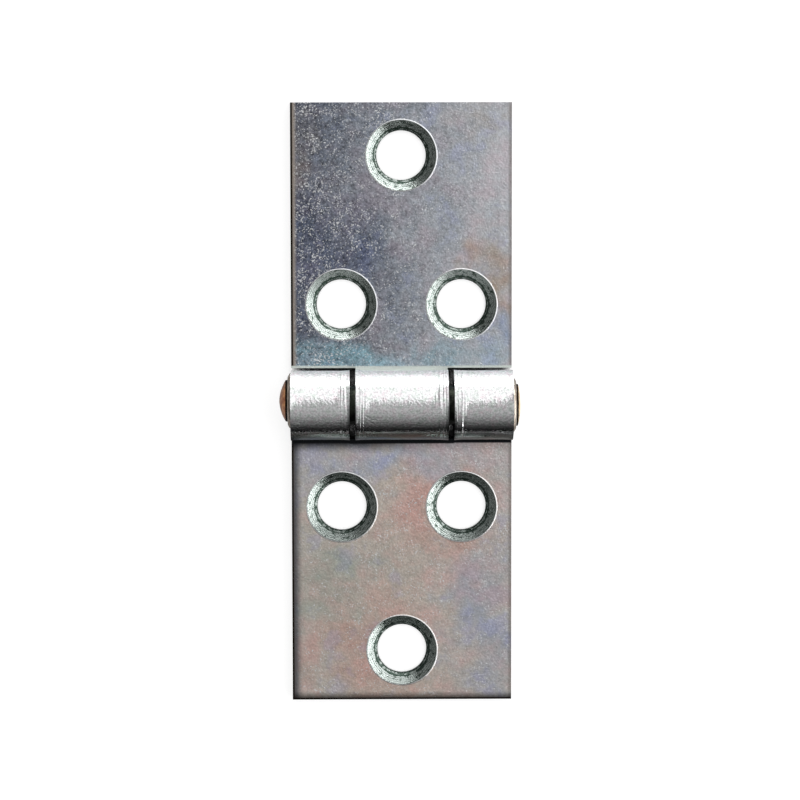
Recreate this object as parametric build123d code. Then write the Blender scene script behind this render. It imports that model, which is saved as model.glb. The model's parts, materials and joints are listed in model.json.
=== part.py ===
from build123d import *
import os
from math import asin, cos, degrees, radians, sin, tan

# Flat hinge, also called a table hinge: two zinc-plated sheet-steel leaves on one riveted pin.
#
# It is modelled lying open at 180 degrees on its flat back, as it is stored and fitted.
# The origin is on the back face, under the middle of the pin. +X runs along the pin, +Y points
# to the end of the leaf with one knuckle, and +Z is the side that the screws go in from.
#
# Each leaf is one piece of sheet: a flat plate with three countersunk screw holes, whose tongues
# are rolled once round the pin, so that the back of the plate is tangent to the knuckle. The curl
# ends just above the plate's own face. The pin is a solid brass rivet, with a flanged dome hammered
# against the outer face of each outer knuckle. Sizes are in millimetres.

# The sheet and the plate's outline
sheet_thickness = 2.0
leaf_width = 29.4
leaf_reach = 40.0  # from the pin's axis to the leaf's free end
leaf_corner_radius = 0.4
front_edge_round = 0.8  # the soft edge that the punch leaves on the screw side
notch_edge_break = 0.3  # the bevel round the notches and tongues
back_edge_break = 0.2  # and round the knuckle's rims and the back

# The pin and the knuckles
pin_diameter = 5.2
running_clearance = 0.08  # between the pin and a knuckle's bore, on the radius
middle_knuckle_length = 12.3
knuckle_gap = 0.77  # between the middle knuckle and each outer one
notch_gap = 0.25  # between a knuckle and the edge of the other leaf's notch
notch_corner_radius = 0.5
seam_gap = 0.12  # between the end of the curl and the plate's face

# The rivet's heads
head_diameter = 7.4
left_head_height = 1.55
right_head_height = 1.05
head_rim = 0.12  # the flange's short straight side
flange_height = 0.45  # of the low flange that the hammer spread against the knuckle
flange_slope_width = 0.5  # of its sloping ring, on the radius
neck_step = 0.42  # from the flange in to the neck under the dome
dome_start = 0.72  # from the knuckle to where the dome begins
left_head_offset = 0.5  # how far the hammer pushed the left head over, towards +Y

# The screw holes, for 5 mm countersunk screws
screw_hole_diameter = 6.6
countersink_diameter = 9.5
countersink_angle = 90.0
countersink_edge_break = 0.1
near_hole_spacing = 16.0  # between the pair of holes near the pin
single_near_hole_reach = 13.2  # from the pin's axis to that pair, in the leaf with one knuckle
single_far_hole_inset = 7.0  # and from the free end to its single hole
double_near_hole_reach = 13.9  # the same in the leaf with two knuckles
double_far_hole_inset = 6.7

# What follows from them
bore_radius = pin_diameter / 2 + running_clearance
knuckle_radius = bore_radius + sheet_thickness
axis_height = knuckle_radius  # the back is tangent to the knuckle
notch_reach = knuckle_radius + notch_gap
middle_notch_width = middle_knuckle_length + 2 * knuckle_gap
outer_knuckle_length = (leaf_width - middle_notch_width) / 2
outer_knuckle_centre = (leaf_width - outer_knuckle_length) / 2
seam_drop = axis_height - sheet_thickness - seam_gap  # of the curl's end, below the pin's axis
seam_angle = degrees(asin(seam_drop / knuckle_radius))

same = 1e-6  # two lengths closer than this are the same one


def plate_outline(tongues):
    """The leaf seen from the screw side, as far as the pin's axis. A tongue is (centre, width)."""
    plate_length = leaf_reach - notch_reach
    plate = Rectangle(leaf_width, plate_length, align=(Align.CENTER, Align.MIN))
    outline = Pos(0, notch_reach) * plate
    for centre, width in tongues:
        tongue = Rectangle(width, notch_reach, align=(Align.CENTER, Align.MIN))
        outline += Pos(centre, 0) * tongue
    outline = fillet(notch_corners(outline), notch_corner_radius)
    return fillet(outline.vertices().group_by(Axis.Y)[-1], leaf_corner_radius)


def notch_corners(outline):
    """The outline's concave corners, where a tongue leaves the plate."""
    root = outline.vertices().filter_by(lambda v: abs(v.Y - notch_reach) < same)
    return [v for v in root if abs(v.X) < leaf_width / 2 - same]


def flat_plate(tongues):
    """The flat part of the sheet, with the punch's soft edge on its screw side."""
    plate = extrude(plate_outline(tongues), sheet_thickness)
    plate = fillet(front_edges(plate).sort_by(Axis.Y)[-1], front_edge_round)
    near = front_edges(plate).filter_by(lambda e: same < e.center().Y < notch_reach + same)
    notch = near.filter_by(lambda e: abs(e.center().X) < leaf_width / 2 - front_edge_round - same)
    return chamfer(notch, notch_edge_break)


def front_edges(plate):
    """The edges of the plate's flat screw side."""
    return plate.faces().filter_by(Axis.Z).sort_by(Axis.Z)[-1].edges()


def curl(centre, length):
    """One knuckle: the tongue rolled round the pin, to a square end just above the plate."""
    start = -90
    turn = -(270 + seam_angle)
    axis = (0, axis_height)
    with BuildSketch(Plane.YZ) as section:
        with BuildLine():
            inner = CenterArc(axis, bore_radius, start, turn)
            outer = CenterArc(axis, knuckle_radius, start, turn)
            Line(inner @ 0, outer @ 0)
            Line(inner @ 1, outer @ 1)
        make_face()
    return Pos(centre, 0, 0) * extrude(section.sketch, length / 2, both=True)


def screw_hole(x, y):
    """The cut for one countersunk screw, from the plate's front face through its back."""
    radius = screw_hole_diameter / 2
    mouth = countersink_diameter / 2
    depth = (mouth - radius) / tan(radians(countersink_angle / 2))
    shaft = Cylinder(radius, 3 * sheet_thickness)
    cone = Cone(radius, mouth, depth, align=(Align.CENTER, Align.CENTER, Align.MAX))
    return Pos(x, y, sheet_thickness) * (shaft + cone)


def hole_places(near_reach, far_inset):
    """Where a leaf's three holes are: a pair near the pin and a single one near the free end."""
    side = near_hole_spacing / 2
    return [(-side, near_reach), (side, near_reach), (0, leaf_reach - far_inset)]


def circles(body, radius):
    """The body's round edges of one radius."""
    return body.edges().filter_by(GeomType.CIRCLE).filter_by(lambda e: abs(e.radius - radius) < same)


def leaf(tongues, holes):
    """One whole leaf, pointing along +Y: plate, curls, broken edges and screw holes."""
    body = flat_plate(tongues)
    for centre, length in tongues:
        body += curl(centre, length)
    body = chamfer(circles(body, knuckle_radius), back_edge_break)
    for x, y in holes:
        body -= screw_hole(x, y)
    return chamfer(circles(body, countersink_diameter / 2), countersink_edge_break)


def single_knuckle_leaf():
    """The leaf with the middle knuckle, towards +Y."""
    holes = hole_places(single_near_hole_reach, single_far_hole_inset)
    return leaf([(0, middle_knuckle_length)], holes)


def double_knuckle_leaf():
    """The leaf with the two outer knuckles, towards -Y."""
    holes = hole_places(double_near_hole_reach, double_far_hole_inset)
    sides = (-outer_knuckle_centre, outer_knuckle_centre)
    return Rot(0, 0, 180) * leaf([(side, outer_knuckle_length) for side in sides], holes)


def rivet_head(head_height):
    """One hammered head, on the plane X = 0 and pointing towards +X: flange, neck and dome."""
    seat = head_diameter / 2
    shelf = seat - flange_slope_width
    neck = shelf - neck_step
    rise = head_height - dome_start
    dome_radius = (neck**2 + rise**2) / (2 * rise)
    half_angle = asin(neck / dome_radius) / 2
    middle = (head_height - dome_radius * (1 - cos(half_angle)), dome_radius * sin(half_angle))
    flange = [(0, seat), (head_rim, seat), (flange_height, shelf)]
    with BuildSketch() as profile:
        with BuildLine():
            Polyline((head_height, 0), (0, 0), *flange, (flange_height, neck), (dome_start, neck))
            ThreePointArc((dome_start, neck), middle, (head_height, 0))
        make_face()
    return revolve(profile.sketch, Axis.X)


def rivet_pin():
    """The pin: a plain shank between its two heads, the left one a little off the axis."""
    seat = leaf_width / 2
    shank = Rot(0, 90, 0) * Cylinder(pin_diameter / 2, leaf_width)
    right_head = Pos(seat, 0, 0) * rivet_head(right_head_height)
    left_head = Pos(-seat, left_head_offset, 0) * mirror(rivet_head(left_head_height), Plane.YZ)
    return Pos(0, 0, axis_height) * (shank + right_head + left_head)


def main():
    """Writes one STEP file for each piece."""
    os.makedirs("parts", exist_ok=True)
    pieces = {
        "single_knuckle_leaf": single_knuckle_leaf(),
        "double_knuckle_leaf": double_knuckle_leaf(),
        "rivet_pin": rivet_pin(),
    }
    for name, piece in pieces.items():
        export_step(piece, f"parts/{name}.step")


if __name__ == "__main__":
    main()
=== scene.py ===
"""Dresses the flat hinge: plated steel leaves, a hammered brass rivet and a plain studio round them.

It is laid out as a Blender add-on and run as a script. Lengths in the settings are in metres, as in
the frame, and patterns are written in millimetres.
"""
import json
from math import pi, radians

import bmesh
import bpy
from bpy.props import FloatProperty, FloatVectorProperty, IntProperty, PointerProperty
from mathutils import Matrix, Vector, noise


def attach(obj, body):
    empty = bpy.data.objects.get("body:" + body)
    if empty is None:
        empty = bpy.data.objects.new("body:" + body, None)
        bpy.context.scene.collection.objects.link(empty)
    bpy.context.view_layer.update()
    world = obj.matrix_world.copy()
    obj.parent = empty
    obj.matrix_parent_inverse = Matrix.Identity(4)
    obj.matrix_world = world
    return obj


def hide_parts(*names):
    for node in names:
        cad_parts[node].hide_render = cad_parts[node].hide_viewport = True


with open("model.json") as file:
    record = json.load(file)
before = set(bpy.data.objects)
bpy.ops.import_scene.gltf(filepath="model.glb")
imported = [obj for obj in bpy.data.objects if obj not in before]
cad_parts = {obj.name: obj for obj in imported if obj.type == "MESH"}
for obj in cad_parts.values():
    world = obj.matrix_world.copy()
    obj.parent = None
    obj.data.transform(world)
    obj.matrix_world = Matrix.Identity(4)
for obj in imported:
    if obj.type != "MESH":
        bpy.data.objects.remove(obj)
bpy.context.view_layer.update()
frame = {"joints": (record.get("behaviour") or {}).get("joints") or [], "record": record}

bl_info = {
    "name": "Flat Hinge",
    "version": (1, 0, 0),
    "blender": (4, 5, 0),
    "location": "3D View > Sidebar > Flat Hinge",
    "description": "Finishes a flat hinge in zinc and brass, and sets up a studio for it",
    "category": "Object",
}

MM = 0.001
PIN_HEIGHT = frame["joints"][0]["pos_m"][2]
MOUNTS = {mount["name"]: mount["pos_m"] for mount in frame["record"]["mounts"]}
TURNED_SIDES = 96  # round the rivet, a hole or a lip

# What settings of one sort share: a length, a colour and a share of one
LENGTH = {"subtype": "DISTANCE", "unit": "LENGTH", "min": 0}
COLOUR = {"subtype": "COLOR", "min": 0, "max": 1}
SHARE = {"subtype": "FACTOR", "min": 0, "max": 1}
# How a node fades softly from one value to another
SMOOTH = {"interpolation_type": "SMOOTHSTEP"}


def colour(code):
    """An sRGB hex colour as the linear numbers that a shader takes."""
    shares = [int(code[i:i + 2], 16) / 255 for i in (1, 3, 5)]
    return tuple(s / 12.92 if s <= 0.04045 else ((s + 0.055) / 1.055) ** 2.4 for s in shares)


def add(tree, kind, inputs=None, stops=None, **settings):
    """Adds one node. An input is a number, a colour, a socket, or a node for its first output."""
    node = tree.nodes.new(kind)
    for name, value in settings.items():
        setattr(node, name, value)
    for key, value in (inputs or {}).items():
        if isinstance(value, bpy.types.Node):
            value = value.outputs[0]
        if isinstance(value, bpy.types.NodeSocket):
            tree.links.new(value, node.inputs[key])
        else:
            node.inputs[key].default_value = value
    if stops:
        elements = node.color_ramp.elements
        while len(elements) < len(stops):
            elements.new(1)
        for element, (place, shade) in zip(elements, stops):
            element.position = place
            element.color = (*shade, 1)
    return node


def new_material(name):
    """An empty node material and its tree."""
    material = bpy.data.materials.new(name)
    material.use_nodes = True
    tree = material.node_tree
    tree.nodes.clear()
    return material, tree


def millimetres(tree):
    """The object's own coordinates, in millimetres."""
    place = add(tree, "ShaderNodeTexCoord").outputs["Object"]
    return add(tree, "ShaderNodeVectorMath", {0: place, "Scale": 1 / MM}, operation="SCALE")


# Stains in the passivation: colour, centre and size in millimetres, and strength.
COOL_STAINS = (
    (colour("#B09C8C"), (12.0, 17.0), (4.5, 9), 0.85),
    (colour("#93A4C4"), (13.0, 9.7), (4.0, 5.0), 0.6),
    (colour("#8FB4C2"), (-4, 5.6), (24, 4.0), 0.8),
    (colour("#5C6278"), (-9, 19), (11, 12), 0.7),
    (colour("#938A84"), (-13.5, 32), (3.5, 10), 0.5),
    (colour("#B0A59F"), (11, 37), (7, 5), 0.5),
)
WARM_STAINS = (
    (colour("#B3B7C9"), (-3, -7.0), (24, 6), 0.8),
    (colour("#A8ACBE"), (11, -29), (6.5, 15), 0.65),
    (colour("#CBA69C"), (7, -15), (9, 8), 0.75),
    (colour("#CBA49A"), (-5, -33), (11, 9), 0.75),
    (colour("#A5AFA6"), (-9, -23), (8, 8), 0.6),
    (colour("#A9AEAC"), (-4, -21), (8, 6), 0.3),
)


class LeafShape(bpy.types.PropertyGroup):
    """The sizes of the two leaves. Only the notch gap and the waist differ from the solids."""

    sheet: FloatProperty(
        name="Sheet", description="Thickness of the steel sheet", default=2.0 * MM, **LENGTH)
    width: FloatProperty(
        name="Width", description="Width of a leaf, along the pin", default=29.4 * MM, **LENGTH)
    reach: FloatProperty(
        name="Reach", description="From the pin's axis to a leaf's free end", default=40 * MM, **LENGTH)
    knuckle_radius: FloatProperty(
        name="Knuckle radius", description="Outer radius of a knuckle, and the height of the pin's axis",
        default=4.68 * MM, **LENGTH)
    middle_knuckle: FloatProperty(
        name="Middle knuckle", description="Length of the middle knuckle", default=12.3 * MM, **LENGTH)
    outer_knuckle: FloatProperty(
        name="Outer knuckle", description="Length of each outer knuckle", default=7.78 * MM, **LENGTH)
    notch_gap: FloatProperty(
        name="Notch gap", description="Between a knuckle and the edge of the notch that it turns in",
        default=0.07 * MM, **LENGTH)
    seam: FloatProperty(
        name="Seam", description="How far past three quarters of a turn a tongue is rolled",
        subtype="ANGLE", unit="ROTATION", default=radians(33.17), min=0)
    front_round: FloatProperty(
        name="Front round", description="Radius of the soft edge that the punch leaves on the screw side",
        default=0.8 * MM, **LENGTH)
    hole: FloatProperty(
        name="Screw hole", description="Diameter of a screw hole", default=6.6 * MM, **LENGTH)
    mouth: FloatProperty(
        name="Countersink", description="Diameter of a countersink's mouth", default=9.5 * MM, **LENGTH)
    near_hole_spacing: FloatProperty(
        name="Near hole spacing", description="Between the pair of holes near the pin",
        default=16 * MM, **LENGTH)
    tool_rings: IntProperty(
        name="Tool rings", description="How many rings the countersinking tool left in a cone",
        default=6, min=1)
    tool_mark: FloatProperty(
        name="Tool mark", description="Depth of the rolling tool's marks in the knuckles",
        default=0.02 * MM, **LENGTH)
    waist: FloatProperty(
        name="Waist", description="How much slimmer a knuckle is at its middle than at its rims",
        default=0.09 * MM, **LENGTH)


class LeafFinish(bpy.types.PropertyGroup):
    """The zinc plating of the leaves and the marks in it."""

    fresh: FloatVectorProperty(
        name="Fresh zinc", description="Colour of zinc that rolling or a knock has burnished",
        default=colour("#E4E5E6"), **COLOUR)
    fresh_green: FloatVectorProperty(
        name="Greenish zinc", description="Greener tint that wanders through the burnished knuckles",
        default=colour("#D0D8D2"), **COLOUR)
    fresh_lilac: FloatVectorProperty(
        name="Lilac zinc", description="Pinker tint that wanders through the burnished knuckles",
        default=colour("#E0D6DA"), **COLOUR)
    # On the leaf with one knuckle the dark left and the pale right are painted shade and painted light.
    cool_dark: FloatVectorProperty(
        name="Cool zinc, dark", description="Colour at the left of the leaf with one knuckle",
        default=colour("#5E6372"), **COLOUR)
    cool: FloatVectorProperty(
        name="Cool zinc", description="Colour in the middle of the leaf with one knuckle",
        default=colour("#9A9DA7"), **COLOUR)
    cool_light: FloatVectorProperty(
        name="Cool zinc, light", description="Colour at the right of the leaf with one knuckle",
        default=colour("#C4C4CB"), **COLOUR)
    warm: FloatVectorProperty(
        name="Warm zinc", description="Colour at the left of the leaf with two knuckles",
        default=colour("#C9BFB9"), **COLOUR)
    warm_light: FloatVectorProperty(
        name="Warm zinc, light", description="Colour in the middle of the leaf with two knuckles",
        default=colour("#CCBDB5"), **COLOUR)
    warm_grey: FloatVectorProperty(
        name="Warm zinc, grey", description="Colour at the right of the leaf with two knuckles",
        default=colour("#C6BFBE"), **COLOUR)
    grime: FloatVectorProperty(
        name="Grime", description="Brown grime that the soft edges hold",
        default=colour("#6E645C"), **COLOUR)
    # Painted shade: the dark line on the left edge and the darkened free end.
    edge_shade: FloatVectorProperty(
        name="Oily edge", description="Dark oil on the sheared edges", default=colour("#1D1815"), **COLOUR)
    # Painted shade: beside and beyond the knuckles, and at their ends by the gaps.
    corner_shade: FloatVectorProperty(
        name="Corner dirt", description="Oily dirt between the knuckles and the plate",
        default=colour("#16181A"), **COLOUR)
    # Painted reflection: the darker teal low on the knuckles' -Y flank.
    teal_flank_reflection: FloatVectorProperty(
        name="Oily teal", description="The oily film on the knuckles' lower flank",
        default=colour("#70857F"), **COLOUR)
    countersink: FloatVectorProperty(
        name="Countersink", description="Colour of the turned steel in the countersinks",
        default=colour("#A9B1AD"), **COLOUR)
    countersink_dark: FloatVectorProperty(
        name="Countersink, dark", description="Darker tint that wanders through the countersinks",
        default=colour("#43524A"), **COLOUR)
    plate_roughness: FloatProperty(
        name="Plate roughness", description="How far the flat plate scatters a reflection",
        default=0.3, **SHARE)
    knuckle_roughness: FloatProperty(
        name="Knuckle roughness", description="How far the burnished knuckle scatters a reflection",
        default=0.13, **SHARE)
    flank_roughness: FloatProperty(
        name="Flank roughness", description="The same low on a knuckle's +Y side, where nothing rubs it",
        default=0.58, **SHARE)
    grain: FloatProperty(
        name="Grain", description="Depth of the plating's grain", default=0.05 * MM, **LENGTH)


class RivetShape(bpy.types.PropertyGroup):
    """The sizes of the rivet and the finish of its brass."""

    shank: FloatProperty(
        name="Shank", description="Diameter of the shank", default=5.2 * MM, **LENGTH)
    grip: FloatProperty(
        name="Grip", description="Length between the two heads", default=29.4 * MM, **LENGTH)
    head: FloatProperty(
        name="Head", description="Diameter of a head at its seat", default=7.4 * MM, **LENGTH)
    left_head_height: FloatProperty(
        name="Left head height", description="How far the left head stands out from its knuckle",
        default=1.55 * MM, **LENGTH)
    right_head_height: FloatProperty(
        name="Right head height", description="How far the right head stands out from its knuckle",
        default=1.05 * MM, **LENGTH)
    flange_height: FloatProperty(
        name="Flange height", description="How far out the low flange under the dome reaches",
        default=0.45 * MM, **LENGTH)
    left_offset: FloatProperty(
        name="Left head offset", description="How far the hammer pushed the left head over",
        subtype="DISTANCE", unit="LENGTH", default=0.62 * MM)
    dent: FloatProperty(
        name="Hammer dents", description="Depth of the dents that the hammer left in the heads",
        default=0.05 * MM, **LENGTH)
    brass: FloatVectorProperty(
        name="Brass", description="Colour of the bare brass", default=colour("#C98F5C"), **COLOUR)
    tarnish: FloatVectorProperty(
        name="Tarnish", description="Colour of the brass where it is tarnished",
        default=colour("#93552F"), **COLOUR)
    roughness: FloatProperty(
        name="Roughness", description="How far the hammered brass scatters a reflection",
        default=0.28, **SHARE)


class Studio(bpy.types.PropertyGroup):
    """The camera, the floor and the light."""

    camera_place: FloatVectorProperty(
        name="Camera place", description="Where the camera stands, looking down on the hinge",
        subtype="XYZ", unit="LENGTH", default=(-0.005, 0.0355, 0.4))
    camera_target: FloatVectorProperty(
        name="Camera target", description="The point in the middle of the picture",
        subtype="XYZ", unit="LENGTH", default=(-0.00018, 0.00027, 0))
    camera_roll: FloatProperty(
        name="Camera roll", description="How far the camera turns about its own line of sight",
        subtype="ANGLE", unit="ROTATION", default=radians(-0.1))
    lens: FloatProperty(
        name="Lens", description="Focal length, in millimetres", default=134.7, min=1)
    floor_size: FloatProperty(
        name="Floor size", description="Side of the square floor", default=0.124, **LENGTH)
    window_side: FloatVectorProperty(
        name="Window side", description="Direction that the bright side of the room lies in",
        subtype="DIRECTION", default=(0.87, 0.5, 0))
    window: FloatProperty(
        name="Window", description="Brightness of the room's bright side", default=1.4, min=0)
    low_window: FloatProperty(
        name="Low window", description="Brightness of the bright side near the horizon", default=6.5, min=0)
    ceiling: FloatProperty(
        name="Ceiling", description="Brightness of the room straight overhead", default=0.55, min=0)
    wall_side: FloatVectorProperty(
        name="Wall side", description="Direction that the pale wall opposite the window lies in",
        subtype="DIRECTION", default=(-0.91, 0.24, 0.35))
    wall: FloatProperty(
        name="Pale wall", description="Brightness of that wall", default=0.22, min=0)
    far_side: FloatProperty(
        name="Far side", description="Brightness low down on the side away from the window",
        default=0.01, min=0)


def closed_mesh(bm, name):
    """Turns a closed bmesh into a mesh with its faces outward."""
    bmesh.ops.recalc_face_normals(bm, faces=bm.faces)
    if not all(edge.is_manifold for edge in bm.edges):
        raise RuntimeError(f"{name} isn't closed")
    mesh = bpy.data.meshes.new(name)
    bm.to_mesh(mesh)
    bm.free()
    return mesh


def show(name, data):
    """Puts a mesh or a camera into the scene."""
    piece = bpy.data.objects.new(name, data)
    bpy.context.scene.collection.objects.link(piece)
    return piece


def turned_shape(name, profile):
    """A closed mesh turned about Z. The profile's (radius, height) points start and end on Z."""
    bm = bmesh.new()
    points = [bm.verts.new((radius, 0, height)) for radius, height in profile]
    lines = [bm.edges.new(pair) for pair in zip(points, points[1:])]
    bmesh.ops.spin(
        bm, geom=points + lines, axis=(0, 0, 1), cent=(0, 0, 0), angle=2 * pi, steps=TURNED_SIDES,
        use_merge=True)
    bmesh.ops.remove_doubles(bm, verts=bm.verts, dist=MM / 10000)
    return closed_mesh(bm, name)


def tongue_length(shape):
    """The arc that a tongue is rolled into, along the middle of the sheet."""
    return (shape.knuckle_radius - shape.sheet / 2) * (1.5 * pi + shape.seam)


def blank_mesh(name, shape, tongues):
    """One leaf as it was punched, flat, with its tongues out along -Y and its back on Z = 0."""
    side = shape.width / 2
    notch = shape.knuckle_radius + shape.notch_gap
    tip = -tongue_length(shape)
    columns = sorted({-side, side, *(edge for tongue in tongues for edge in tongue)})
    rows = [tip, 0, notch, shape.reach]

    def filled(i, j):
        if not (0 <= i < len(columns) - 1 and 0 <= j < len(rows) - 1):
            return False
        return j == len(rows) - 2 or any(a <= columns[i] and columns[i + 1] <= b for a, b in tongues)

    bm = bmesh.new()
    points = {}

    def point(i, j, top):
        if (i, j, top) not in points:
            points[i, j, top] = bm.verts.new((columns[i], rows[j], top * shape.sheet))
        return points[i, j, top]

    for i in range(len(columns) - 1):
        for j in range(len(rows) - 1):
            if not filled(i, j):
                continue
            ring = [(i, j), (i + 1, j), (i + 1, j + 1), (i, j + 1)]
            beyond = [(i, j - 1), (i + 1, j), (i, j + 1), (i - 1, j)]
            bm.faces.new([point(*corner, 1) for corner in ring])
            bm.faces.new([point(*corner, 0) for corner in reversed(ring)])
            for p, q, neighbour in zip(ring, ring[1:] + ring[:1], beyond):
                if not filled(*neighbour):
                    bm.faces.new([point(*p, 1), point(*p, 0), point(*q, 0), point(*q, 1)])
    mark_edges(bm, shape, notch, tip)
    return closed_mesh(bm, name)


def slice_tongues(mesh, shape, step):
    """Divides the tongues both ways, finely enough to roll."""
    bm = bmesh.new()
    bm.from_mesh(mesh)
    for axis, start, end in ((1, -tongue_length(shape), 0), (0, -shape.width / 2, shape.width / 2)):
        count = round((end - start) / step)
        for n in range(1, count + (axis == 1)):
            place = Vector((0, 0, 0))
            place[axis] = start + (end - start) * n / count
            across = Vector((axis == 0, axis == 1, 0))
            tongue = [face for face in bm.faces if face.calc_center_median().y < 0]
            parts = {part for face in tongue for part in (face, *face.edges, *face.verts)}
            bmesh.ops.bisect_plane(bm, geom=list(parts), dist=MM / 1000, plane_co=place, plane_no=across)
    flat = [
        edge for edge in bm.edges
        if edge.calc_face_angle(1) < radians(0.1) and min(v.co.y for v in edge.verts) > -MM / 1000
        and max(v.co.y for v in edge.verts) > MM / 1000]
    bmesh.ops.dissolve_edges(bm, edges=flat, use_verts=False)
    bm.to_mesh(mesh)
    bm.free()


def mark_edges(bm, shape, notch, tip):
    """Says how wide each edge's round is, as a share of the soft edge on the screw side."""
    share = bm.edges.layers.float.new("bevel_weight_edge")
    small = shape.sheet / 1000
    for edge in bm.edges:
        if edge.calc_face_angle(0) < radians(45):
            continue
        a, b = (v.co for v in edge.verts)
        near, far = sorted((a.y, b.y))
        on_side = abs(abs(a.x + b.x) - shape.width) < small
        along_x = far - near < small
        if abs(a.z - b.z) > small:
            if near > shape.reach - small:
                edge[share] = 0.5
            elif abs(near - notch) < small and not on_side:
                edge[share] = 0.6
        elif a.z > small:
            if near > shape.reach - small or (on_side and near > -small):
                edge[share] = 1
            elif along_x and abs(near - notch) < small:
                edge[share] = 0.55
        elif near > -small:
            edge[share] = 0.25
        elif far > tip + small:
            edge[share] = 0.55


def countersink_tool(shape, finish):
    """The solid that one screw hole takes out: a shaft, and a cone with the tool's fine rings."""
    hole = shape.hole / 2
    mouth = shape.mouth / 2 - 0.1 * MM
    deep = shape.sheet - (mouth - hole)
    ring = (mouth - hole) / shape.tool_rings
    # Each ring of the cone is a little too steep and ends in a small step.
    profile = [(0, -shape.sheet), (hole, -shape.sheet), (hole, deep)]
    for n in range(shape.tool_rings):
        profile.append((hole + (n + 0.88) * ring, deep + (n + 0.72) * ring))
        profile.append((hole + (n + 1) * ring, deep + (n + 1) * ring + 0.01 * MM))
    profile += [(mouth + 0.05 * MM, shape.sheet + 0.07 * MM), (mouth + 0.4 * MM, 2 * shape.sheet)]
    tool = show("countersink_tool", turned_shape("countersink_tool", [*profile, (0, 2 * shape.sheet)]))
    tool.data.materials.append(finish)
    return tool


def raised_lip(shape, finish):
    """The low burr that the countersinking tool raised round its cone, on a disc inside the sheet."""
    mouth = shape.mouth / 2
    top = shape.sheet
    profile = [
        (0, top / 2), (mouth + 0.05 * MM, top / 2), (mouth + 0.1 * MM, top - 0.01 * MM),
        (mouth + 0.04 * MM, top + 0.03 * MM), (mouth - 0.05 * MM, top + 0.05 * MM), (0, top + 0.055 * MM)]
    lip = show("raised_lip", turned_shape("raised_lip", profile))
    lip.data.materials.append(finish)
    return lip


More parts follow.
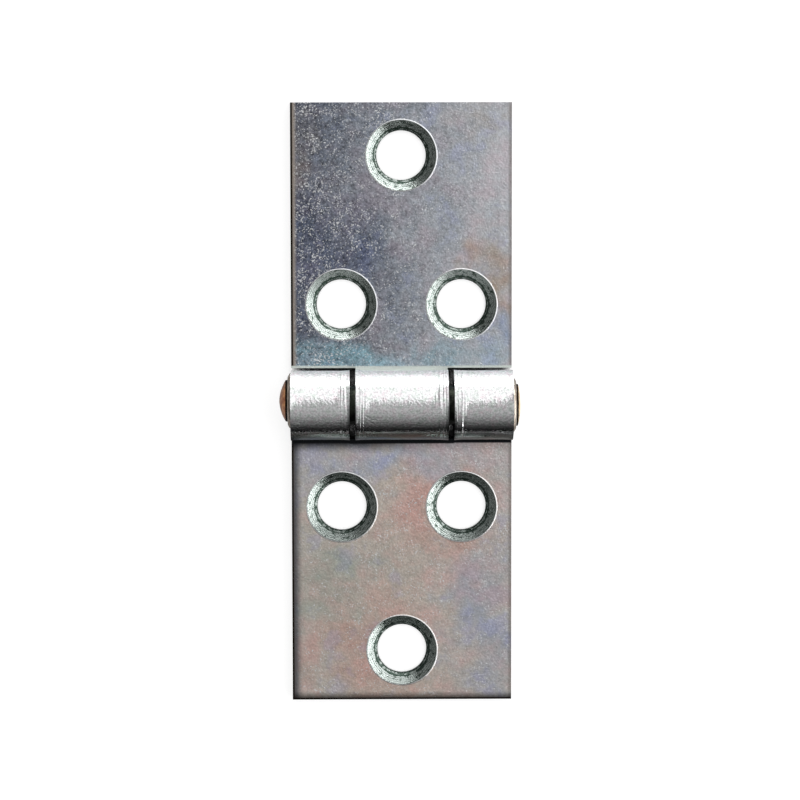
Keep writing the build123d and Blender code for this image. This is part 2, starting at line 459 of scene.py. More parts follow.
def leaf_tree(shape, name, holes, tongue, turn, tool, lip, sheet_finish, turned_finish):
    """Geometry Nodes that make a leaf from its flat blank: drill, roll the tongues, turn and finish."""
    tree = bpy.data.node_groups.new(name, "GeometryNodeTree")
    defaults = {
        "Knuckle Radius": shape.knuckle_radius, "Neutral Radius": shape.knuckle_radius - shape.sheet / 2,
        "Near Hole Reach": holes[0], "Near Hole Spacing": shape.near_hole_spacing,
        "Far Hole Reach": holes[1], "Tool Mark Depth": shape.tool_mark, "Waist": shape.waist,
        "Tongue Middle": tongue[0], "Tongue Half Width": tongue[1], "Turn": turn}
    for sort, labels in (
        ("NodeSocketGeometry", ["Blank"]),
        ("NodeSocketFloat", defaults),
        ("NodeSocketObject", ["Countersink Tool", "Lip"]),
        ("NodeSocketMaterial", ["Sheet Finish", "Turned Finish"]),
    ):
        for label in labels:
            tree.interface.new_socket(label, in_out="INPUT", socket_type=sort)
    tree.interface.new_socket("Leaf", in_out="OUTPUT", socket_type="NodeSocketGeometry")
    given = add(tree, "NodeGroupInput").outputs

    half = add(tree, "ShaderNodeMath", {0: given["Near Hole Spacing"], 1: 0.5}, operation="MULTIPLY")
    minus = add(tree, "ShaderNodeMath", {0: half, 1: -1.0}, operation="MULTIPLY")
    spots = add(tree, "GeometryNodeJoinGeometry")
    for across, along in (
        (minus, given["Near Hole Reach"]),
        (half, given["Near Hole Reach"]),
        (0.0, given["Far Hole Reach"]),
    ):
        place = add(tree, "ShaderNodeCombineXYZ", {"X": across, "Y": along})
        spot = add(tree, "GeometryNodePoints", {"Count": 1, "Position": place})
        tree.links.new(spot.outputs[0], spots.inputs[0])

    # The sheet is too thin for a clean cut in metres, so it is drilled in millimetres.
    blank = add(tree, "GeometryNodeTransform", {"Geometry": given["Blank"], "Scale": [1 / MM] * 3})
    stamps = []
    for label in ("Lip", "Countersink Tool"):
        source = add(tree, "GeometryNodeObjectInfo", {"Object": given[label]})
        placed = add(tree, "GeometryNodeInstanceOnPoints", {
            "Points": spots, "Instance": source.outputs["Geometry"]})
        real = add(tree, "GeometryNodeRealizeInstances", {0: placed})
        stamps.append(add(tree, "GeometryNodeTransform", {"Geometry": real, "Scale": [1 / MM] * 3}))
    joined = add(tree, "GeometryNodeMeshBoolean", {"Mesh 2": blank}, operation="UNION")
    tree.links.new(stamps[0].outputs[0], joined.inputs["Mesh 2"])
    drilled = add(tree, "GeometryNodeMeshBoolean", {
        "Mesh 1": joined, "Mesh 2": stamps[1]}, operation="DIFFERENCE")
    drilled = add(tree, "GeometryNodeTransform", {"Geometry": drilled, "Scale": [MM] * 3})

    # The rolling tool's marks run round the knuckle, 0.7 mm apart and about 3 mm long.
    marks_per_metre = (1.5 / MM, 0.35 / MM, 1)
    place = add(tree, "GeometryNodeInputPosition")
    flat = add(tree, "ShaderNodeSeparateXYZ", {0: place}).outputs
    stretched = add(tree, "ShaderNodeVectorMath", {0: place, 1: marks_per_metre}, operation="MULTIPLY")
    streaks = add(tree, "ShaderNodeTexNoise", {"Vector": stretched, "Scale": 1.0, "Detail": 2.0})
    marks = add(tree, "ShaderNodeMath", {0: streaks, 1: given["Tool Mark Depth"]}, operation="MULTIPLY")

    # The waist is even over most of a knuckle's length and fades at its rims, as a sixth power does.
    away = flat["X"]
    for operation, value in (
        ("ABSOLUTE", 0.0),
        ("SUBTRACT", given["Tongue Middle"]),
        ("DIVIDE", given["Tongue Half Width"]),
        ("ABSOLUTE", 0.0),
        ("POWER", 6.0),
    ):
        away = add(tree, "ShaderNodeMath", {0: away, 1: value}, operation=operation)
    slim = add(tree, "ShaderNodeMapRange", {"Value": away, "To Min": given["Waist"], "To Max": 0.0})

    # Both are cut into the outside of the tongue alone.
    dip = add(tree, "ShaderNodeMath", {0: marks, 1: slim}, operation="ADD")
    on_tongue = add(tree, "ShaderNodeMapRange", {
        "Value": flat["Y"], "From Min": -0.5 * MM, "From Max": -3.0 * MM})
    outside = add(tree, "ShaderNodeMapRange", {"Value": flat["Z"], "From Min": 0.6 * MM, "From Max": 0.0})
    depth = add(tree, "ShaderNodeMath", {0: on_tongue, 1: outside}, operation="MULTIPLY")
    depth = add(tree, "ShaderNodeMath", {0: depth, 1: dip}, operation="MULTIPLY")
    height = add(tree, "ShaderNodeMath", {0: flat["Z"], 1: depth}, operation="ADD")

    # The tongue's length becomes an angle, and its height a distance from the pin's axis.
    angle = add(tree, "ShaderNodeMath", {0: flat["Y"], 1: given["Neutral Radius"]}, operation="DIVIDE")
    radius = add(tree, "ShaderNodeMath", {0: given["Knuckle Radius"], 1: height}, operation="SUBTRACT")
    sine = add(tree, "ShaderNodeMath", {0: angle}, operation="SINE")
    cosine = add(tree, "ShaderNodeMath", {0: angle}, operation="COSINE")
    along = add(tree, "ShaderNodeMath", {0: radius, 1: sine}, operation="MULTIPLY")
    below = add(tree, "ShaderNodeMath", {0: radius, 1: cosine}, operation="MULTIPLY")
    up = add(tree, "ShaderNodeMath", {0: given["Knuckle Radius"], 1: below}, operation="SUBTRACT")
    rolled = add(tree, "ShaderNodeCombineXYZ", {"X": flat["X"], "Y": along, "Z": up})
    tongue = add(tree, "FunctionNodeCompare", {
        "A": flat["Y"], "B": 0.0}, data_type="FLOAT", operation="LESS_THAN")
    knuckled = add(tree, "GeometryNodeSetPosition", {
        "Geometry": drilled, "Selection": tongue, "Position": rolled})

    bend = add(tree, "GeometryNodeInputMeshEdgeAngle")
    soft = add(tree, "FunctionNodeCompare", {
        "A": bend, "B": radians(28)}, data_type="FLOAT", operation="LESS_THAN")
    shaded = add(tree, "GeometryNodeSetShadeSmooth", {
        "Geometry": knuckled, "Shade Smooth": soft}, domain="EDGE")
    heading = add(tree, "ShaderNodeCombineXYZ", {"Z": given["Turn"]})
    turned = add(tree, "GeometryNodeTransform", {"Geometry": shaded, "Rotation": heading})
    whole = add(tree, "GeometryNodeRealizeInstances", {0: turned})
    cut = add(tree, "GeometryNodeMaterialSelection", {"Material": given["Turned Finish"]})
    sheet = add(tree, "FunctionNodeBooleanMath", {0: cut}, operation="NOT")
    finished = add(tree, "GeometryNodeSetMaterial", {
        "Geometry": whole, "Selection": sheet, "Material": given["Sheet Finish"]})
    add(tree, "NodeGroupOutput", {"Leaf": finished})
    values = {
        **defaults, "Countersink Tool": tool, "Lip": lip, "Sheet Finish": sheet_finish,
        "Turned Finish": turned_finish}
    return tree, values


def plain_mesh(piece):
    """Takes a piece's modifiers into its mesh."""
    bpy.context.view_layer.update()
    solid = piece.evaluated_get(bpy.context.evaluated_depsgraph_get())
    mesh = bpy.data.meshes.new_from_object(solid)
    piece.modifiers.clear()
    mesh.name = piece.name
    piece.data = mesh


def make_leaf(name, node, body, tongues, turn, sheet_finish, turned_finish):
    """One whole leaf: punched, softened at its edges, drilled, rolled and plated."""
    shape = bpy.context.scene.leaf_shape
    leaf = show(name, blank_mesh(name, shape, tongues))
    leaf.data.materials.append(sheet_finish)
    edges = leaf.modifiers.new("soft_edges", "BEVEL")
    edges.limit_method = "WEIGHT"
    edges.width = shape.front_round
    edges.segments = 4
    plain_mesh(leaf)
    slice_tongues(leaf.data, shape, 0.2 * MM)
    tool = countersink_tool(shape, turned_finish)
    lip = raised_lip(shape, sheet_finish)
    start, end = tongues[-1]
    tongue = ((start + end) / 2, (end - start) / 2)
    holes = [abs(MOUNTS[f"{name}_{hole}"][1]) for hole in ("near_hole_left", "far_hole")]
    tree, values = leaf_tree(
        shape, f"{name}_maker", holes, tongue, turn, tool, lip, sheet_finish, turned_finish)
    maker = leaf.modifiers.new("maker", "NODES")
    maker.node_group = tree
    for item in tree.interface.items_tree:
        if item.item_type == "SOCKET" and item.in_out == "INPUT" and item.name in values:
            maker[item.identifier] = values[item.name]
    flats = leaf.modifiers.new("flat_faces_stay_flat", "WEIGHTED_NORMAL")
    flats.keep_sharp = True
    plain_mesh(leaf)
    for helper in (tool, lip):
        bpy.data.objects.remove(helper)
    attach(leaf, body)
    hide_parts(node)
    return leaf


def head_profile(shape, height):
    """A rivet head's outline, from the shank's end to the dome's tip, as (radius, how far out)."""
    seat = shape.head / 2
    shelf = seat - 0.5 * MM
    neck = shelf - 0.42 * MM
    start = shape.flange_height + 0.27 * MM
    outline = [
        (shape.shank / 2, 0), (seat, 0), (seat, 0.12 * MM), (seat - 0.06 * MM, 0.2 * MM),
        (shelf + 0.05 * MM, shape.flange_height - 0.02 * MM), (shelf - 0.06 * MM, shape.flange_height),
        (neck + 0.03 * MM, shape.flange_height), (neck, start - 0.05 * MM)]
    steps = 9
    for n in range(steps, -1, -1):
        outline.append((neck * n / steps, start + (height - start) * (1 - (n / steps) ** 2)))
    return outline


def rivet_mesh(shape, finishes):
    """The rivet, turned and then hammered, lying along X at the pin's height."""
    half = shape.grip / 2
    left = head_profile(shape, shape.left_head_height)
    right = head_profile(shape, shape.right_head_height)
    profile = [(r, -half - out) for r, out in reversed(left)] + [(r, half + out) for r, out in right]
    mesh = turned_shape("rivet", profile)
    for finish in finishes:
        mesh.materials.append(finish)
    flange_top, dome_start = right[5][0], right[8][1]
    brass, highlit_dome, flange, neck, shank = range(5)
    for face in mesh.polygons:
        out = abs(face.center.z) - half
        if out < 0:
            face.material_index = shank
        # Past the flange each dome is brass; the right one gets a pale brass, a painted highlight.
        elif out > dome_start:
            face.material_index = brass if face.center.z < 0 else highlit_dome
        elif face.center.xy.length > flange_top:
            face.material_index = flange
        # The neck gets painted shadow.
        else:
            face.material_index = neck
    for v in mesh.vertices:
        x, y, z = v.co.z, v.co.y, -v.co.x
        ring = Vector((0, y, z))
        if abs(x) > half + MM / 1000:
            dent = shape.dent * (noise.noise(Vector((x, y, z)) / MM * 0.9) + 1) / 2
            x += dent if x < 0 else -dent
            ring -= ring.normalized() * dent
        if x < 0 and (abs(x) > half + MM / 1000 or ring.length > 1.1 * shape.shank / 2):
            ring.y += shape.left_offset
        v.co = (x, ring.y, ring.z + PIN_HEIGHT)
    mesh.shade_smooth()
    mesh.set_sharp_from_angle(angle=radians(40))
    return mesh


def metal_surface(tree, base, roughness, relief, depth, strength=1.0):
    """A metal's colour, how far it scatters light, and its relief, as deep as some length."""
    bump = add(tree, "ShaderNodeBump", {"Height": relief, "Strength": strength, "Distance": depth})
    shader = add(tree, "ShaderNodeBsdfPrincipled", {
        "Base Color": base, "Metallic": 1.0, "Roughness": roughness, "Normal": bump})
    add(tree, "ShaderNodeOutputMaterial", {"Surface": shader})


def scratches(tree, place, angle, spacing, limit):
    """Fine straight scratches, some millimetres long and leaning one way, where a noise passes a limit."""
    turned = add(tree, "ShaderNodeMapping", {
        "Vector": place, "Rotation": (0, 0, angle), "Scale": (1 / (9 * spacing), 1 / spacing, 0)})
    cells = add(tree, "ShaderNodeTexVoronoi", {"Vector": turned, "Scale": 1.0}, feature="DISTANCE_TO_EDGE")
    patch = add(tree, "ShaderNodeTexNoise", {"Vector": place, "Scale": 0.35, "Detail": 2.0})
    some = add(tree, "ShaderNodeMapRange", {
        "Value": patch, "From Min": limit, "From Max": limit + 0.08, "To Max": 0.3})
    return add(tree, "ShaderNodeMapRange", {
        "Value": cells, "From Min": 0.026 / spacing, "From Max": 0.01 / spacing, "To Max": some})


def zinc_material(name, tints, stains, film_share, specks, grains, edge, corner, end_shade):
    """Zinc-plated mild steel with a thin clear passivation, tumbled in bulk.

    The eye gets a satin metal with faint rainbow stains, fine bright specks where parts struck each
    other, and a few scratches. The knuckle is shinier, because the rolling tool burnished it.

    Tints are the plate's colours from left to right; on the leaf with one knuckle they are painted
    shade to the left and painted light to the right. A stain is a colour, a centre and a size in
    millimetres, and a strength. The film share is how much rainbow there is. Specks and grains each
    say how much of them there is at the left and at the right. Edge is the colour of a band along the
    left edge, its strength and where it starts: painted reflection on one leaf, painted shade on the
    other. Corner is the colour beside the knuckles and how far it reaches in the middle and at the
    sides: a painted highlight on one leaf, painted shade on the other. End shade is how dark the
    painted shade at the free end and beyond the knuckles is.
    """
    look = bpy.context.scene.leaf_finish
    shape = bpy.context.scene.leaf_shape
    front = shape.sheet / MM
    side = shape.width / 2 / MM
    end = shape.reach / MM
    gap_middle = 6.5  # from the hinge's middle to the middle of the gap between two knuckles
    material, tree = new_material(name)
    place = millimetres(tree)
    x_y_z = add(tree, "ShaderNodeSeparateXYZ", {0: place}).outputs
    outward = add(tree, "ShaderNodeMath", {0: x_y_z["X"]}, operation="ABSOLUTE")
    along = add(tree, "ShaderNodeMath", {0: x_y_z["Y"]}, operation="ABSOLUTE")

    # Film thickness wanders over a few millimetres, so every patch has a wavering outline.
    wander = add(tree, "ShaderNodeTexNoise", {"Vector": place, "Scale": 0.22, "Detail": 5.0})
    wander = add(tree, "ShaderNodeVectorMath", {
        0: wander.outputs["Color"], 1: (0.5, 0.5, 0.5)}, operation="SUBTRACT")
    wander = add(tree, "ShaderNodeVectorMath", {0: wander, "Scale": 16.0}, operation="SCALE")
    drifted = add(tree, "ShaderNodeVectorMath", {0: place, 1: wander}, operation="ADD")
    # The tints run across the plate from left to right. On the leaf with one knuckle they are painted shade,
    # darker towards the left, and painted light, paler towards the right.
    across = add(tree, "ShaderNodeSeparateXYZ", {0: drifted})
    across = add(tree, "ShaderNodeMapRange", {
        "Value": across, "From Min": 0.7 - side, "From Max": side - 0.7})
    stops = tuple((n / (len(tints) - 1), tint) for n, tint in enumerate(tints))
    tone = add(tree, "ShaderNodeValToRGB", {"Fac": across}, stops=stops)
    height_ignored = 1000  # millimetres, far over the hinge's height
    for tint, centre, size, strength in stains:
        away = add(tree, "ShaderNodeVectorMath", {0: drifted, 1: (*centre, 0)}, operation="SUBTRACT")
        away = add(tree, "ShaderNodeVectorMath", {0: away, 1: (*size, height_ignored)}, operation="DIVIDE")
        away = add(tree, "ShaderNodeVectorMath", {0: away}, operation="LENGTH").outputs["Value"]
        stain = add(tree, "ShaderNodeMapRange", {
            "Value": away, "From Min": 1.0, "From Max": 0.0, "To Max": strength}, **SMOOTH)
        tone = add(tree, "ShaderNodeMix", {0: stain, 6: tone, 7: (*tint, 1)}, data_type="RGBA").outputs[2]

    # A thin rainbow film, in patches of a few millimetres. The gain makes up for its grey.
    film_grey = (0.578, 0.578, 0.578, 1)
    film_gain = 1.78
    film = add(tree, "ShaderNodeTexNoise", {"Vector": place, "Scale": 0.24, "Detail": 5.0, "Roughness": 0.6})
    film = add(tree, "ShaderNodeValToRGB", {"Fac": film}, stops=(
        (0.36, colour("#A9BADF")), (0.45, colour("#BCCBC0")), (0.53, colour("#CBC4BB")),
        (0.63, colour("#DEB9B4"))))
    film = add(tree, "ShaderNodeMix", {0: film_share, 6: film_grey, 7: film}, data_type="RGBA").outputs[2]
    film = add(tree, "ShaderNodeVectorMath", {0: film, "Scale": film_gain}, operation="SCALE")
    tone = add(tree, "ShaderNodeVectorMath", {0: tone, 1: film}, operation="MULTIPLY")

    # Grey mottling of a few tenths of a millimetre, as tumbled zinc has, and finer grain over it.
    mottle = add(tree, "ShaderNodeTexNoise", {
        "Vector": place, "Scale": 1.3, "Detail": 5.0, "Roughness": 0.75})
    dust = add(tree, "ShaderNodeTexNoise", {"Vector": place, "Scale": 3.7, "Detail": 1.0})
    grain = add(tree, "ShaderNodeMapRange", {"Value": across, "To Min": grains[0], "To Max": grains[1]})
    both = add(tree, "ShaderNodeMix", {0: 0.4, 2: mottle, 3: dust}, data_type="FLOAT")
    both = add(tree, "ShaderNodeMath", {0: both, 1: 0.5}, operation="SUBTRACT")
    both = add(tree, "ShaderNodeMath", {0: both, 1: grain}, operation="MULTIPLY")
    both = add(tree, "ShaderNodeMapRange", {
        "Value": both, "From Min": -0.25, "From Max": 0.3, "To Min": 0.25, "To Max": 1.9})
    tone = add(tree, "ShaderNodeVectorMath", {0: tone, "Scale": both}, operation="SCALE")

    # Bright specks are 0.1 to 0.3 mm across, thickest on the side that met the other parts.
    fleck = add(tree, "ShaderNodeTexNoise", {"Vector": place, "Scale": 4.8, "Detail": 2.0, "Roughness": 0.6})
    crowd = add(tree, "ShaderNodeTexNoise", {"Vector": place, "Scale": 0.7, "Detail": 2.0})
    crowd = add(tree, "ShaderNodeMapRange", {
        "Value": crowd, "From Min": 0.3, "From Max": 0.7, "To Min": 0.68, "To Max": 0.56})
    more = add(tree, "ShaderNodeMapRange", {"Value": across, "To Min": specks[0], "To Max": specks[1]})
    limit = add(tree, "ShaderNodeMath", {0: crowd, 1: more}, operation="SUBTRACT")
    speck = add(tree, "ShaderNodeMath", {0: fleck, 1: limit}, operation="SUBTRACT")
    speck = add(tree, "ShaderNodeMapRange", {
        "Value": speck, "From Min": 0.0, "From Max": 0.07, "To Max": 0.95})
    steep = scratches(tree, place, radians(68), 2.4, 0.62)
    gentle = scratches(tree, place, radians(-35), 3.1, 0.63)
    lines = add(tree, "ShaderNodeMath", {0: steep, 1: gentle}, operation="MAXIMUM")

    # The soft side edges hold grime where the punch left them rough. Painted shade lies as a dark line on
    # the upper rounding of the left edge and of the free end, and darkens the free end.
    # Painted reflection on the leaf with one knuckle and painted shade on the other: a band of the edge
    # colour along the left edge.
    painted_left_edge = add(tree, "ShaderNodeMapRange", {
        "Value": x_y_z["X"], "From Min": edge[2], "From Max": 0.3 - side, "To Max": edge[1]}, **SMOOTH)
    grime = add(tree, "ShaderNodeMapRange", {
        "Value": outward, "From Min": side - 0.6, "From Max": side - 0.2, "To Max": mottle}, **SMOOTH)
    # Painted shade darkens the last millimetre of the free end.
    free_end_shade = add(tree, "ShaderNodeMapRange", {
        "Value": along, "From Min": end - 1.1, "From Max": end - 0.4, "To Max": end_shade})
    upper = add(tree, "ShaderNodeMapRange", {"Value": x_y_z["Z"], "From Min": 0.7, "From Max": 1.5})
    # Painted shade: a dark line on the upper rounding of the left edge and of the free end.
    painted_edge_line = add(tree, "ShaderNodeMapRange", {
        "Value": x_y_z["X"], "From Min": 0.32 - side, "From Max": 0.2 - side})
    painted_end_line = add(tree, "ShaderNodeMapRange", {
        "Value": along, "From Min": end - 0.34, "From Max": end - 0.2, "To Max": 1.3 * end_shade})
    painted_edge_line = add(tree, "ShaderNodeMath", {0: painted_edge_line, 1: painted_end_line}, operation="MAXIMUM")
    painted_edge_line = add(tree, "ShaderNodeMath", {0: painted_edge_line, 1: upper}, operation="MULTIPLY")

    # Beside the knuckles one leaf's plate gets a painted highlight, a bright line, and the other's gets
    # painted shade, a dark line.
    reach = add(tree, "ShaderNodeMapRange", {
        "Value": outward, "From Min": gap_middle + 0.4, "From Max": gap_middle + 0.6,
        "To Min": corner[1], "To Max": corner[2]})
    reach = add(tree, "ShaderNodeMath", {0: reach, 1: along}, operation="SUBTRACT")
    knuckle_side_light_and_shade = add(tree, "ShaderNodeMapRange", {"Value": reach, "From Max": 0.2, "To Max": upper}, **SMOOTH)
    # Painted shadow: the plate just beyond the knuckles darkens, more towards -X.
    below_knuckle_shadow = add(tree, "ShaderNodeMapRange", {
        "Value": x_y_z["X"], "From Min": -5.0, "From Max": 5.0, "To Min": 1.3 * end_shade,
        "To Max": 0.4 * end_shade})
    below_knuckle_shadow = add(tree, "ShaderNodeMapRange", {
        "Value": along, "From Min": 6.9, "From Max": 5.1, "To Max": below_knuckle_shadow}, **SMOOTH)

    # The burr round each countersink stands just above the plate and is rubbed bright; its pale ring, even
    # all round, is partly a painted highlight.
    lip = add(tree, "ShaderNodeMapRange", {
        "Value": x_y_z["Z"], "From Min": front + 0.003, "From Max": front + 0.02, "To Max": 0.8})

    for share, tint in (
        (speck, look.fresh),
        (lines, look.fresh),
        (painted_left_edge, edge[0]),
        (grime, look.grime),
        (free_end_shade, look.edge_shade),
        (painted_edge_line, look.edge_shade),
        (knuckle_side_light_and_shade, corner[0]),
        (below_knuckle_shadow, look.corner_shade),
        (lip, look.fresh),
    ):
        tone = add(tree, "ShaderNodeMix", {0: share, 6: tone, 7: (*tint, 1)}, data_type="RGBA").outputs[2]

    # The rolling tool burnished the knuckles above the plate, and the tongues' back behind them.
    burnished = add(tree, "ShaderNodeMapRange", {
        "Value": x_y_z["Z"], "From Min": front + 0.1, "From Max": front + 1.2}, **SMOOTH)
    low = add(tree, "ShaderNodeMath", {0: x_y_z["Z"], 1: 1.0}, operation="LESS_THAN")
    behind = add(tree, "ShaderNodeMapRange", {
        "Value": along, "From Min": 6.5, "From Max": 3.5, "To Max": low}, **SMOOTH)
    burnished = add(tree, "ShaderNodeMath", {0: burnished, 1: behind}, operation="MAXIMUM")

    # They wander between a greenish and a pinkish white. Low on the -Y side they take a darker teal, a
    # painted reflection of the other leaf's plate.
    shift = add(tree, "ShaderNodeTexNoise", {"Vector": place, "Scale": 1.3, "Detail": 5.0, "Roughness": 0.7})
    bright = add(tree, "ShaderNodeValToRGB", {"Fac": shift}, stops=(
        (0.35, look.fresh_green), (0.5, look.fresh), (0.65, look.fresh_lilac)))
    powder = add(tree, "ShaderNodeMapRange", {
        "Value": dust, "From Min": 0.2, "From Max": 0.8, "To Min": 0.65, "To Max": 1.2})
    bright = add(tree, "ShaderNodeVectorMath", {0: bright, "Scale": powder}, operation="SCALE")
    flank_reflection = add(tree, "ShaderNodeMapRange", {
        "Value": x_y_z["Y"], "From Min": -3.1, "From Max": -4.3, "To Max": 0.75})
    bright = add(tree, "ShaderNodeMix", {
        0: flank_reflection, 6: bright, 7: (*look.teal_flank_reflection, 1)}, data_type="RGBA").outputs[2]
    base = add(tree, "ShaderNodeMix", {0: burnished, 6: tone, 7: bright}, data_type="RGBA").outputs[2]

    # They are duller low on the +Y side, where nothing rubs them.
    rough = add(tree, "ShaderNodeMapRange", {
        "Value": burnished, "To Min": look.plate_roughness, "To Max": look.knuckle_roughness})
    flank = add(tree, "ShaderNodeMapRange", {
        "Value": x_y_z["Y"], "From Min": 2.6, "From Max": 3.7, "To Max": burnished}, **SMOOTH)
    rough = add(tree, "ShaderNodeMix", {0: flank, 2: rough, 3: look.flank_roughness}, data_type="FLOAT")
    uneven = add(tree, "ShaderNodeMapRange", {"Value": mottle, "To Min": 0.7, "To Max": 1.3})
    rough = add(tree, "ShaderNodeMath", {0: rough, 1: uneven}, operation="MULTIPLY")

    # Painted shade darkens the knuckles' ends beside the gaps, towards their -Y side. The rolling tool
    # scored rings round the knuckles' ends there, a few tenths of a millimetre apart.
    near_gap = add(tree, "ShaderNodeMath", {0: outward, 1: gap_middle}, operation="SUBTRACT")
    near_gap = add(tree, "ShaderNodeMath", {0: near_gap}, operation="ABSOLUTE")
    gap_rim_shade = add(tree, "ShaderNodeMapRange", {
        "Value": near_gap, "From Min": 0.95, "From Max": 0.4, "To Max": 0.7}, **SMOOTH)
    shaded = add(tree, "ShaderNodeMapRange", {
        "Value": x_y_z["Y"], "From Min": 1.5, "From Max": -0.5, "To Max": burnished}, **SMOOTH)
    gap_rim_shade = add(tree, "ShaderNodeMath", {0: gap_rim_shade, 1: shaded}, operation="MULTIPLY")
    base = add(tree, "ShaderNodeMix", {
        0: gap_rim_shade, 6: base, 7: (*look.corner_shade, 1)}, data_type="RGBA").outputs[2]
    rings = add(tree, "ShaderNodeTexNoise", {
        "W": x_y_z["X"], "Scale": 3.1, "Detail": 2.0}, noise_dimensions="1D")
    scored = add(tree, "ShaderNodeMapRange", {
        "Value": near_gap, "From Min": 2.2, "From Max": 1.4, "To Max": 2.2})
    scored = add(tree, "ShaderNodeMath", {0: scored, 1: burnished}, operation="MULTIPLY")
    scored = add(tree, "ShaderNodeMath", {0: scored, 1: rings}, operation="MULTIPLY")

    calm = add(tree, "ShaderNodeMapRange", {"Value": burnished, "To Min": 0.6, "To Max": 0.5})
    relief = add(tree, "ShaderNodeMath", {0: dust, 1: calm}, operation="MULTIPLY")
    relief = add(tree, "ShaderNodeMath", {0: relief, 1: scored}, operation="ADD")
    relief = add(tree, "ShaderNodeMath", {0: relief, 1: lines}, operation="SUBTRACT")
    metal_surface(tree, base, rough, relief, look.grain)
    return material


def countersink_material():
    """Steel cut by a countersinking tool and then plated thinly, so it is darker than the sheet.

    The eye gets fine rings that flash where the cone faces the window and go green-black elsewhere.
    """
    look = bpy.context.scene.leaf_finish
    material, tree = new_material("turned_countersink_steel")
    place = millimetres(tree)
    height = add(tree, "ShaderNodeSeparateXYZ", {0: place}).outputs["Z"]
    pits = add(tree, "ShaderNodeTexNoise", {"Vector": place, "Scale": 1.5, "Detail": 4.0, "Roughness": 0.7})
    deep = add(tree, "ShaderNodeMapRange", {
        "Value": height, "From Min": 0.6, "From Max": 2.0, "To Min": -0.1, "To Max": 0.1})
    pits = add(tree, "ShaderNodeMath", {0: pits, 1: deep}, operation="ADD")
    turns = add(tree, "ShaderNodeTexNoise", {
        "W": height, "Scale": 5.5, "Detail": 1.0}, noise_dimensions="1D")
    turns = add(tree, "ShaderNodeMapRange", {"Value": turns, "To Min": -0.35, "To Max": 0.35})
    pits = add(tree, "ShaderNodeMath", {0: pits, 1: turns}, operation="ADD")
    base = add(tree, "ShaderNodeValToRGB", {"Fac": pits}, stops=(
        (0.44, look.countersink_dark), (0.5, look.countersink)))
    grain = add(tree, "ShaderNodeTexNoise", {"Vector": place, "Scale": 6.0, "Detail": 2.0})
    metal_surface(tree, base, 0.16, grain, look.grain)
    return material


def hammered_material(name, tint, shade, roughness, patch, dent):
    """A hammered metal whose colour wanders between a tint and a shade over patches of some size.

    The eye gets small facets that each catch the light, and patches of tarnish. Patch and
    dent sizes are in millimetres.
    """
    material, tree = new_material(name)
    place = millimetres(tree)
    cloud = add(tree, "ShaderNodeTexNoise", {"Vector": place, "Scale": 1 / patch, "Detail": 4.0})
    base = add(tree, "ShaderNodeValToRGB", {"Fac": cloud}, stops=((0.38, shade), (0.62, tint)))
    dents = add(tree, "ShaderNodeTexNoise", {"Vector": place, "Scale": 1 / dent, "Detail": 2.0})
    metal_surface(tree, base, roughness, dents, 0.04 * MM, 0.8)
    return material


def floor_material():
    """A matt white sheet that stays white behind the hinge and keeps its shadow in the gaps."""
    material, tree = new_material("white_paper_sweep")
    path = add(tree, "ShaderNodeLightPath")
    mirrored = add(tree, "ShaderNodeMath", {
        0: path.outputs["Is Glossy Ray"], 1: path.outputs["Is Transmission Ray"]}, operation="MAXIMUM")
    nearby = add(tree, "ShaderNodeAmbientOcclusion", {"Distance": 8 * MM}, samples=8)
    in_metal = add(tree, "ShaderNodeMapRange", {
        "Value": nearby.outputs["AO"], "From Min": 0.55, "From Max": 0.95, "To Max": 0.4})
    mirrored = add(tree, "ShaderNodeMath", {0: mirrored, 1: in_metal}, operation="MULTIPLY")
    seen = add(tree, "ShaderNodeMath", {
        0: path.outputs["Is Camera Ray"], 1: mirrored}, operation="MAXIMUM")
    open_floor = add(tree, "ShaderNodeMapRange", {
        "Value": nearby.outputs["AO"], "From Min": 0.22, "From Max": 0.45}, **SMOOTH)
    white = 0.82  # with the light that falls on the floor it comes to 1
    glow = add(tree, "ShaderNodeMath", {0: seen, 1: white}, operation="MULTIPLY")
    glow = add(tree, "ShaderNodeMath", {0: glow, 1: open_floor}, operation="MULTIPLY")
    paper = add(tree, "ShaderNodeMapRange", {"Value": open_floor, "To Min": 0.02, "To Max": 0.35})
    paper = add(tree, "ShaderNodeBsdfDiffuse", {"Color": paper})
    light = add(tree, "ShaderNodeEmission", {"Strength": glow})
    both = add(tree, "ShaderNodeAddShader", {0: paper, 1: light})
    add(tree, "ShaderNodeOutputMaterial", {"Surface": both})
    return material


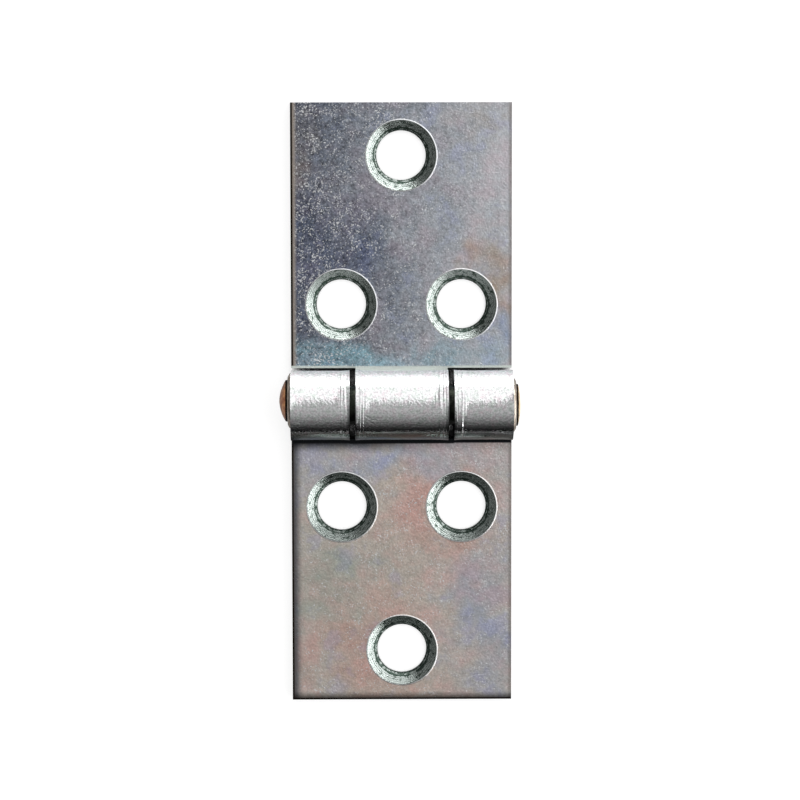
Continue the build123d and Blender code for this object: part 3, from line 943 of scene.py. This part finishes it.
def room_world():
    """A room with one bright side, brightest near the horizon, a dim ceiling and a faint pale wall.

    The camera sees it white.
    """
    studio = bpy.context.scene.studio
    world = bpy.data.worlds.new("room")
    world.use_nodes = True
    tree = world.node_tree
    tree.nodes.clear()
    way = add(tree, "ShaderNodeTexCoord").outputs["Generated"]
    towards = add(tree, "ShaderNodeVectorMath", {0: way, 1: studio.window_side}, operation="DOT_PRODUCT")
    open_side = add(tree, "ShaderNodeMapRange", {
        "Value": towards.outputs["Value"], "From Min": 0.1, "From Max": 0.22}, **SMOOTH)
    height = add(tree, "ShaderNodeSeparateXYZ", {0: way}).outputs["Z"]
    dimmed = add(tree, "ShaderNodeMath", {0: height, 1: 2.2}, operation="POWER")
    shade = add(tree, "ShaderNodeMapRange", {
        "Value": dimmed, "To Min": studio.far_side, "To Max": studio.ceiling})
    pane = add(tree, "ShaderNodeMapRange", {
        "Value": height, "From Min": 0.3, "From Max": 0.1, "To Min": studio.window,
        "To Max": studio.low_window})
    light = add(tree, "ShaderNodeMix", {0: open_side, 2: shade, 3: pane}, data_type="FLOAT")
    facing = add(tree, "ShaderNodeVectorMath", {0: way, 1: studio.wall_side}, operation="DOT_PRODUCT")
    above = add(tree, "ShaderNodeMapRange", {
        "Value": height, "From Min": 0.25, "From Max": 0.45, "To Max": studio.wall})
    wall = add(tree, "ShaderNodeMapRange", {
        "Value": facing.outputs["Value"], "From Min": 0.35, "From Max": 0.8, "To Max": above}, **SMOOTH)
    light = add(tree, "ShaderNodeMath", {0: light, 1: wall}, operation="ADD")
    path = add(tree, "ShaderNodeLightPath")
    strength = add(tree, "ShaderNodeMix", {
        0: path.outputs["Is Camera Ray"], 2: light, 3: 1.0}, data_type="FLOAT")
    sky = add(tree, "ShaderNodeBackground", {"Strength": strength, "Color": (1, 1, 1, 1)})
    add(tree, "ShaderNodeOutputWorld", {"Surface": sky})
    bpy.context.scene.world = world


def aim_camera():
    """The camera, looking down at the hinge with +Y up in the picture."""
    studio = bpy.context.scene.studio
    data = bpy.data.cameras.new("camera")
    data.lens = studio.lens
    data.sensor_width = 36  # millimetres, as the focal length
    camera = show("camera", data)
    place = Vector(studio.camera_place)
    back = (place - Vector(studio.camera_target)).normalized()
    right = Vector((0, 1, 0)).cross(back).normalized()
    up = back.cross(right)
    turn = Matrix((right, up, back)).transposed().to_4x4()
    camera.matrix_world = Matrix.Translation(place) @ turn @ Matrix.Rotation(studio.camera_roll, 4, "Z")
    bpy.context.scene.camera = camera


class FLATHINGE_OT_leaves(bpy.types.Operator):
    """Punches, drills, rolls and plates the two leaves"""

    bl_idname = "flat_hinge.leaves"
    bl_label = "Make the leaves"

    def execute(self, context):
        shape = context.scene.leaf_shape
        look = context.scene.leaf_finish
        turned = countersink_material()
        side = shape.width / 2
        middle = shape.middle_knuckle / 2
        inner = side - shape.outer_knuckle
        # On this leaf the left edge band is a painted reflection, and the colour beside the knuckles a
        # painted highlight.
        cool = zinc_material(
            "zinc_cool_passivated", (look.cool_dark, look.cool, look.cool_light), COOL_STAINS,
            film_share=0.22, specks=(0.05, -0.04), grains=(1.5, 0.3),
            edge=(colour("#B5AAA0"), 0.9, -13.8), corner=(look.fresh_green, 5.1, 5.15), end_shade=0.0)
        # On this leaf the left edge band, the colour beside the knuckles and the end shade are painted
        # shade.
        warm = zinc_material(
            "zinc_warm_passivated", (look.warm, look.warm_light, look.warm_grey), WARM_STAINS,
            film_share=0.3, specks=(0.0, 0.0), grains=(0.35, 0.4),
            edge=(colour("#4A4F58"), 0.9, -13.1), corner=(look.corner_shade, 5.5, 5.42), end_shade=0.75)
        make_leaf(
            "single_leaf", "single_knuckle_leaf", "swinging_leaf", [(-middle, middle)], 0.0, cool, turned)
        make_leaf(
            "double_leaf", "double_knuckle_leaf", "fixed_leaf", [(-side, -inner), (inner, side)], pi,
            warm, turned)
        return {"FINISHED"}


class FLATHINGE_OT_rivet(bpy.types.Operator):
    """Turns and hammers the rivet"""

    bl_idname = "flat_hinge.rivet"
    bl_label = "Make the rivet"

    def execute(self, context):
        shape = context.scene.rivet_shape
        # Each finish's name, tint, shade, roughness, and the size of its patches and its dents
        finishes = (
            ("hammered_brass", shape.brass, shape.tarnish, shape.roughness, 0.8, 0.4),
            # The right dome's pale brass is a painted highlight.
            ("rubbed_brass", colour("#F6E6C8"), colour("#E6C598"), 0.5, 0.8, 0.4),
            ("smeared_zinc", colour("#B4AA9E"), colour("#8C8175"), 0.38, 0.9, 0.3),
            # Painted shadow: the neck between a head's flange and its dome is near black.
            ("sooty_neck", colour("#1E130C"), colour("#0E0906"), 0.6, 0.5, 0.3),
            # Painted shade: the shank, seen only in the gaps between the knuckles, is dark.
            ("oily_shank", colour("#33362F"), colour("#1A1D1A"), 0.4, 1.0, 0.4))
        rivet = show("rivet", rivet_mesh(shape, [hammered_material(*finish) for finish in finishes]))
        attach(rivet, "fixed_leaf")
        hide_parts("rivet_pin")
        return {"FINISHED"}


class FLATHINGE_OT_stage(bpy.types.Operator):
    """Lays the floor, lights the room and sets the camera"""

    bl_idname = "flat_hinge.stage"
    bl_label = "Set the stage"

    def execute(self, context):
        half = context.scene.studio.floor_size / 2
        mesh = bpy.data.meshes.new("floor")
        corners = [(-half, -half, 0), (half, -half, 0), (half, half, 0), (-half, half, 0)]
        mesh.from_pydata(corners, [], [(0, 1, 2, 3)])
        mesh.materials.append(floor_material())
        floor = show("floor", mesh)
        room_world()
        aim_camera()
        context.scene.view_settings.view_transform = "Standard"
        return {"FINISHED"}


class FLATHINGE_PT_panel(bpy.types.Panel):
    """The hinge's settings, in the 3D view's sidebar"""

    bl_idname = "FLATHINGE_PT_panel"
    bl_label = "Flat Hinge"
    bl_space_type = "VIEW_3D"
    bl_region_type = "UI"
    bl_category = "Flat Hinge"

    def draw(self, context):
        for name, operator in STEPS:
            box = self.layout.box()
            settings = getattr(context.scene, name)
            # The first two are Blender's own.
            for prop in settings.bl_rna.properties.keys()[2:]:
                box.prop(settings, prop)
            box.operator(operator)


STEPS = (
    ("leaf_shape", "flat_hinge.leaves"),
    ("leaf_finish", "flat_hinge.leaves"),
    ("rivet_shape", "flat_hinge.rivet"),
    ("studio", "flat_hinge.stage"),
)
CLASSES = (
    LeafShape,
    LeafFinish,
    RivetShape,
    Studio,
    FLATHINGE_OT_leaves,
    FLATHINGE_OT_rivet,
    FLATHINGE_OT_stage,
    FLATHINGE_PT_panel,
)


def register():
    for cls in CLASSES:
        bpy.utils.register_class(cls)
    bpy.types.Scene.leaf_shape = PointerProperty(type=LeafShape)
    bpy.types.Scene.leaf_finish = PointerProperty(type=LeafFinish)
    bpy.types.Scene.rivet_shape = PointerProperty(type=RivetShape)
    bpy.types.Scene.studio = PointerProperty(type=Studio)


def unregister():
    del bpy.types.Scene.studio
    del bpy.types.Scene.rivet_shape
    del bpy.types.Scene.leaf_finish
    del bpy.types.Scene.leaf_shape
    for cls in reversed(CLASSES):
        bpy.utils.unregister_class(cls)


def main():
    """Runs every step in order."""
    register()
    bpy.ops.flat_hinge.leaves()
    bpy.ops.flat_hinge.rivet()
    bpy.ops.flat_hinge.stage()


if __name__ == "__main__":
    main()
